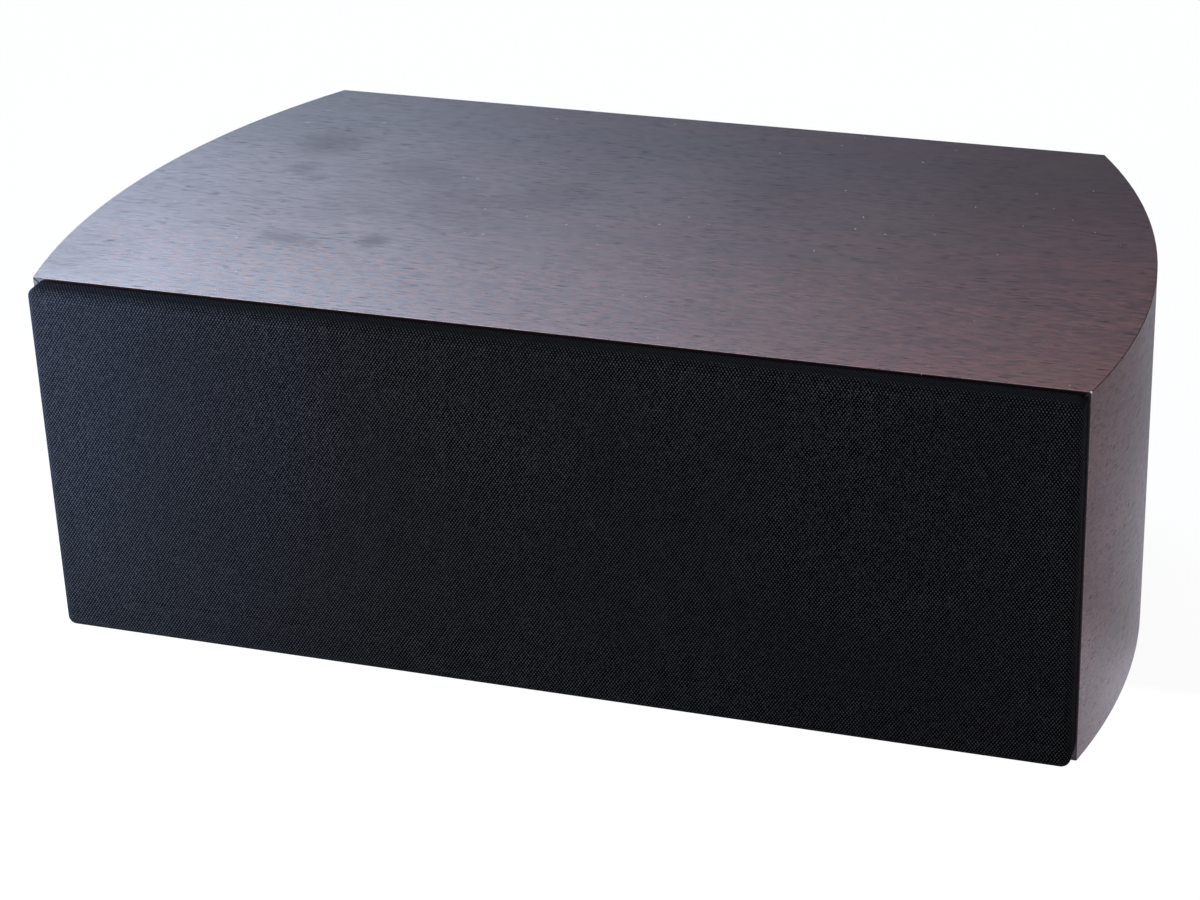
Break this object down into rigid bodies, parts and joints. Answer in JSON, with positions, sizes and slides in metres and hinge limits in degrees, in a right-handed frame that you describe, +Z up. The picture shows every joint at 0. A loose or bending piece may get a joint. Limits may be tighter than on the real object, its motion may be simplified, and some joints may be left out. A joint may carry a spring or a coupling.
{
  "type": "center channel speaker",
  "caption": "Low center channel speaker: bowed veneered cabinet that narrows to the back, full-width cloth grille, woofers beside a tweeter, rear ports and binding posts.",
  "frame": {"origin": "on the floor under the middle of the whole object, grille and rear fittings included", "axes": "+X to the right seen from the listener, +Y to the back, +Z up; the grille faces -Y"},
  "size_m": [0.5182, 0.2886, 0.186],
  "materials": {
    "veneer": "satin lacquered dark cherry veneer, straight grain",
    "black_board": "matt black painted fibreboard",
    "raw_board": "plain fibreboard",
    "foot_rubber": "matt rubber",
    "grille_plastic": "moulded black plastic",
    "grille_fabric": "black woven speaker cloth",
    "peg_plastic": "moulded black plastic",
    "cast_frame": "cast, dark grey powder coat",
    "cone": "woven-look pressed cone",
    "edge_rubber": "satin butyl rubber",
    "coil": "enamelled copper wire",
    "spider_cloth": "doped cotton",
    "steel": "zinc plated",
    "ferrite": "sintered ferrite",
    "faceplate": "fine textured plastic",
    "dome_silk": "coated silk",
    "screw_black": "black oxide",
    "cup_plastic": "moulded black plastic",
    "post_metal": "gold plated brass",
    "red_plastic": "clear-tinted red plastic",
    "black_plastic": "glossy black plastic",
    "board_green": "printed circuit laminate",
    "film_capacitor": "yellow film wrap",
    "resistor": "white ceramic",
    "wadding": "soft polyester fibre"
  },
  "bodies": {
    "cabinet": {"back_panel": "black_board", "bass_choke_spool": "peg_plastic", "bass_choke_winding": "coil", "board_standoffs": "peg_plastic", "bottom_panel": "veneer", "brace_left": "raw_board", "brace_right": "raw_board", "capacitors": "film_capacitor", "crossover_board": "board_green", "feet": "foot_rubber", "front_baffle": "black_board", "peg_sockets": "peg_plastic", "port_left": "cup_plastic", "port_right": "cup_plastic", "post_black": "post_metal", "post_lock_nuts": "steel", "post_red": "post_metal", "power_resistor": "resistor", "side_panel_left": "veneer", "side_panel_right": "veneer", "spider_left": "spider_cloth", "spider_right": "spider_cloth", "terminal_cup": "cup_plastic", "terminal_screws": "screw_black", "top_panel": "veneer", "treble_choke": "coil", "tweeter_coil": "coil", "tweeter_dome": "dome_silk", "tweeter_faceplate": "faceplate", "tweeter_magnet": "ferrite", "tweeter_pole_plate": "steel", "tweeter_screws": "screw_black", "tweeter_top_plate": "steel", "wadding_left": "wadding", "wadding_right": "wadding", "woofer_basket_left": "cast_frame", "woofer_basket_right": "cast_frame", "woofer_magnet_left": "ferrite", "woofer_magnet_right": "ferrite", "woofer_pole_plate_left": "steel", "woofer_pole_plate_right": "steel", "woofer_screws": "screw_black", "woofer_surround_left": "edge_rubber", "woofer_surround_right": "edge_rubber", "woofer_top_plate_left": "steel", "woofer_top_plate_right": "steel"},
    "grille": {"grille_frame": "grille_plastic", "grille_cloth": "grille_fabric", "grille_pegs": "peg_plastic"},
    "left_cone": {"woofer_cone_left": "cone", "dust_cap_left": "cone", "woofer_coil_left": "coil"},
    "right_cone": {"woofer_cone_right": "cone", "dust_cap_right": "cone", "woofer_coil_right": "coil"},
    "red_insert": {"nut_insert_red": "post_metal"},
    "red_shell": {"nut_shell_red": "red_plastic"},
    "black_insert": {"nut_insert_black": "post_metal"},
    "black_shell": {"nut_shell_black": "black_plastic"}
  },
  "joints": [
    {"name": "grille_pull", "type": "slide", "parent": "cabinet", "child": "grille", "axis": [0, -1, 0], "range_m": [0, 0.05]},
    {"name": "left_cone_travel", "type": "slide", "parent": "cabinet", "child": "left_cone", "axis": [0, -1, 0], "range_m": [-0.004, 0.004], "stiffness_N_per_m": 1000, "deforming": ["woofer_surround_left", "spider_left"]},
    {"name": "right_cone_travel", "type": "slide", "parent": "cabinet", "child": "right_cone", "axis": [0, -1, 0], "range_m": [-0.004, 0.004], "stiffness_N_per_m": 1000, "deforming": ["woofer_surround_right", "spider_right"]},
    {"name": "red_nut_travel", "type": "slide", "parent": "cabinet", "child": "red_insert", "axis": [0, 1, 0], "range_m": [0, 0.005]},
    {"name": "red_nut_turn", "type": "hinge", "parent": "red_insert", "child": "red_shell", "pos_m": [0.00953, 0.12475, 0.0945], "axis": [0, 1, 0], "range_deg": [0, 1800]},
    {"name": "black_nut_travel", "type": "slide", "parent": "cabinet", "child": "black_insert", "axis": [0, 1, 0], "range_m": [0, 0.005]},
    {"name": "black_nut_turn", "type": "hinge", "parent": "black_insert", "child": "black_shell", "pos_m": [-0.00953, 0.12475, 0.0945], "axis": [0, 1, 0], "range_deg": [0, 1800]}
  ],
  "couplings": [
    {"joint": "red_nut_turn", "follows": "red_nut_travel", "rad_per_m": 6283.2},
    {"joint": "black_nut_turn", "follows": "black_nut_travel", "rad_per_m": 6283.2}
  ]
}
